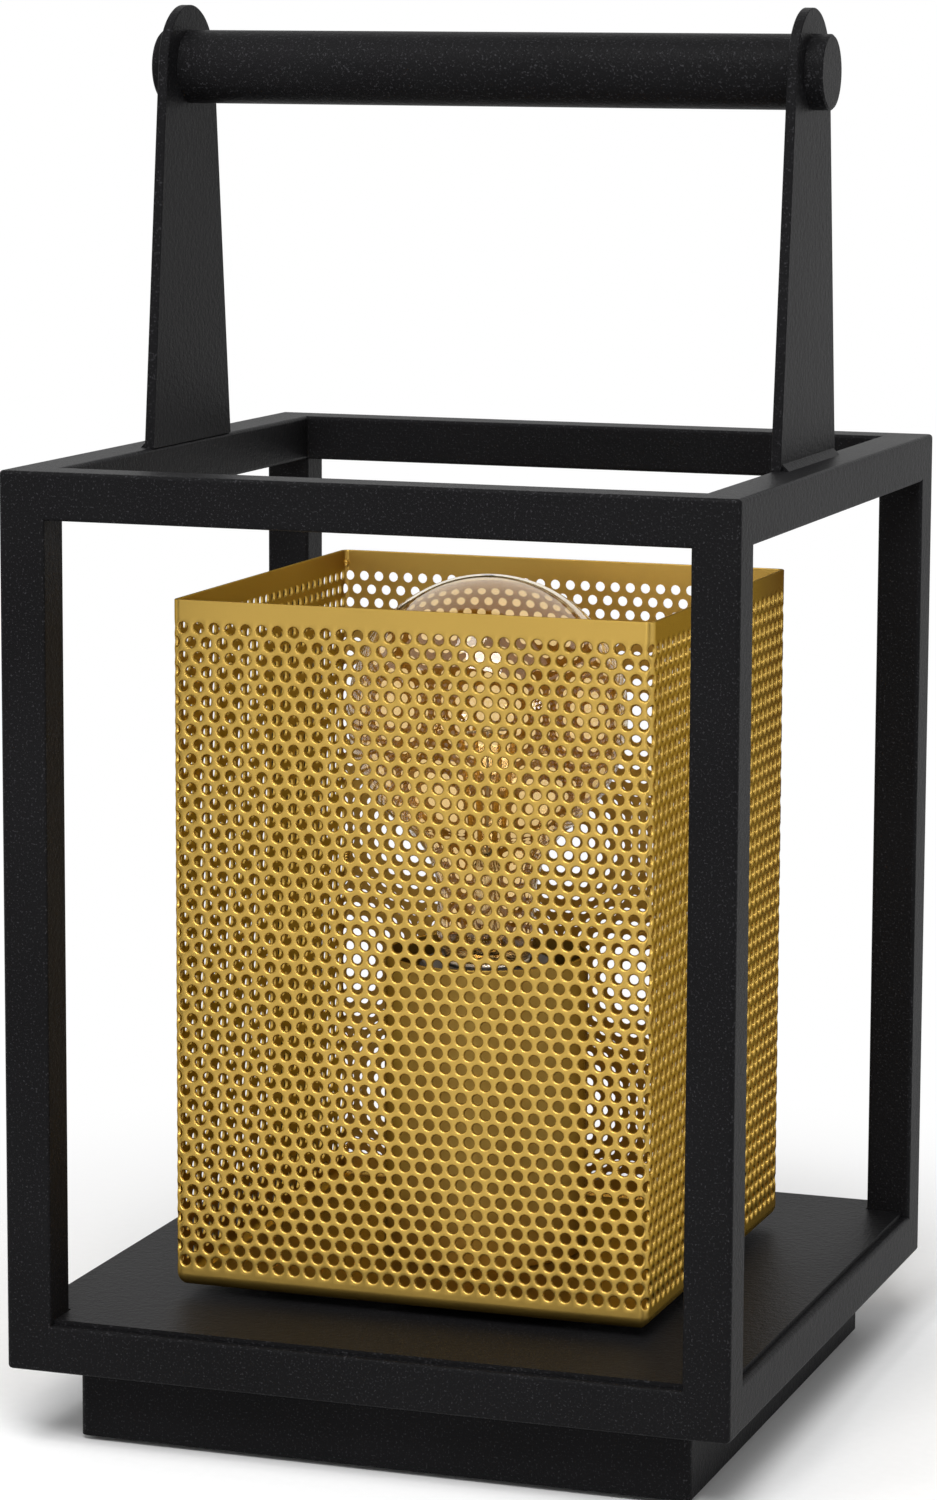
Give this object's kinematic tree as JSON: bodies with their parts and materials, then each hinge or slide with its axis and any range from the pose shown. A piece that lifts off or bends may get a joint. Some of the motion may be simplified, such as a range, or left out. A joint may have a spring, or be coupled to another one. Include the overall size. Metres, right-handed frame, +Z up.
{
  "type": "lantern table lamp",
  "caption": "Lantern table lamp: black square tube frame on an inset plinth, carrying handle on top, perforated brass cage inside round a globe bulb.",
  "frame": {"origin": "on the table, under the centre of the frame", "axes": "+X to the right along the front, +Y to the back, +Z up; the handle runs along X"},
  "size_m": [0.22, 0.22, 0.4205],
  "materials": {
    "black_powder_coat": "fine speckled matt powder coat",
    "satin_gold": "satin plated",
    "brass": "plain",
    "zinc_steel": "zinc plated",
    "nickel_brass": "nickel plated",
    "steel_wire": "drawn wire",
    "filament": "coated rod, unlit",
    "black_rubber": "matt",
    "black_plastic": "moulded",
    "white_plastic": "moulded",
    "porcelain": "glazed",
    "smoky_glass": "amber grey tint",
    "clear_glass": "clear",
    "dark_glass": "vitreous"
  },
  "bodies": {
    "lamp": {"bottom_rail_front": "black_powder_coat", "bottom_rail_right": "black_powder_coat", "bottom_rail_back": "black_powder_coat", "bottom_rail_left": "black_powder_coat", "top_rail_front": "black_powder_coat", "top_rail_right": "black_powder_coat", "top_rail_back": "black_powder_coat", "top_rail_left": "black_powder_coat", "post_front_left": "black_powder_coat", "post_front_right": "black_powder_coat", "post_back_right": "black_powder_coat", "post_back_left": "black_powder_coat", "deck_plate": "black_powder_coat", "plinth_shell": "black_powder_coat", "bottom_cover": "black_powder_coat", "cover_screws": "zinc_steel", "rubber_feet": "black_rubber", "cable_grommet": "black_rubber", "terminal_block": "white_plastic", "earth_screw": "brass", "handle_plate_left": "black_powder_coat", "plate_weld_left": "black_powder_coat", "handle_spigot_left": "zinc_steel", "handle_cap_left": "black_powder_coat", "handle_plate_right": "black_powder_coat", "plate_weld_right": "black_powder_coat", "handle_spigot_right": "zinc_steel", "handle_cap_right": "black_powder_coat", "handle_tube": "black_powder_coat", "handle_tie_rod": "zinc_steel", "cage_wrap": "satin_gold", "cage_floor": "satin_gold", "cage_spacer": "black_powder_coat", "holder_cup": "satin_gold", "threaded_nipple": "zinc_steel", "nipple_nut_lower": "zinc_steel", "nipple_washer": "zinc_steel", "nipple_nut_upper": "zinc_steel", "lampholder_base": "black_plastic", "lampholder_sleeve": "black_plastic", "contact_carrier": "porcelain", "socket_shell": "brass", "centre_contact": "brass"},
    "bulb": {"bulb_glass": "smoky_glass", "bulb_cap": "nickel_brass", "bulb_insulator": "dark_glass", "bulb_tip_contact": "nickel_brass", "bulb_stem": "clear_glass", "bulb_filaments": "filament", "bulb_support_wires": "steel_wire"}
  },
  "joints": [
    {"name": "bulb_lift", "type": "slide", "parent": "lamp", "child": "bulb", "axis": [0, 0, 1], "range_m": [0, 0.135]}
  ]
}
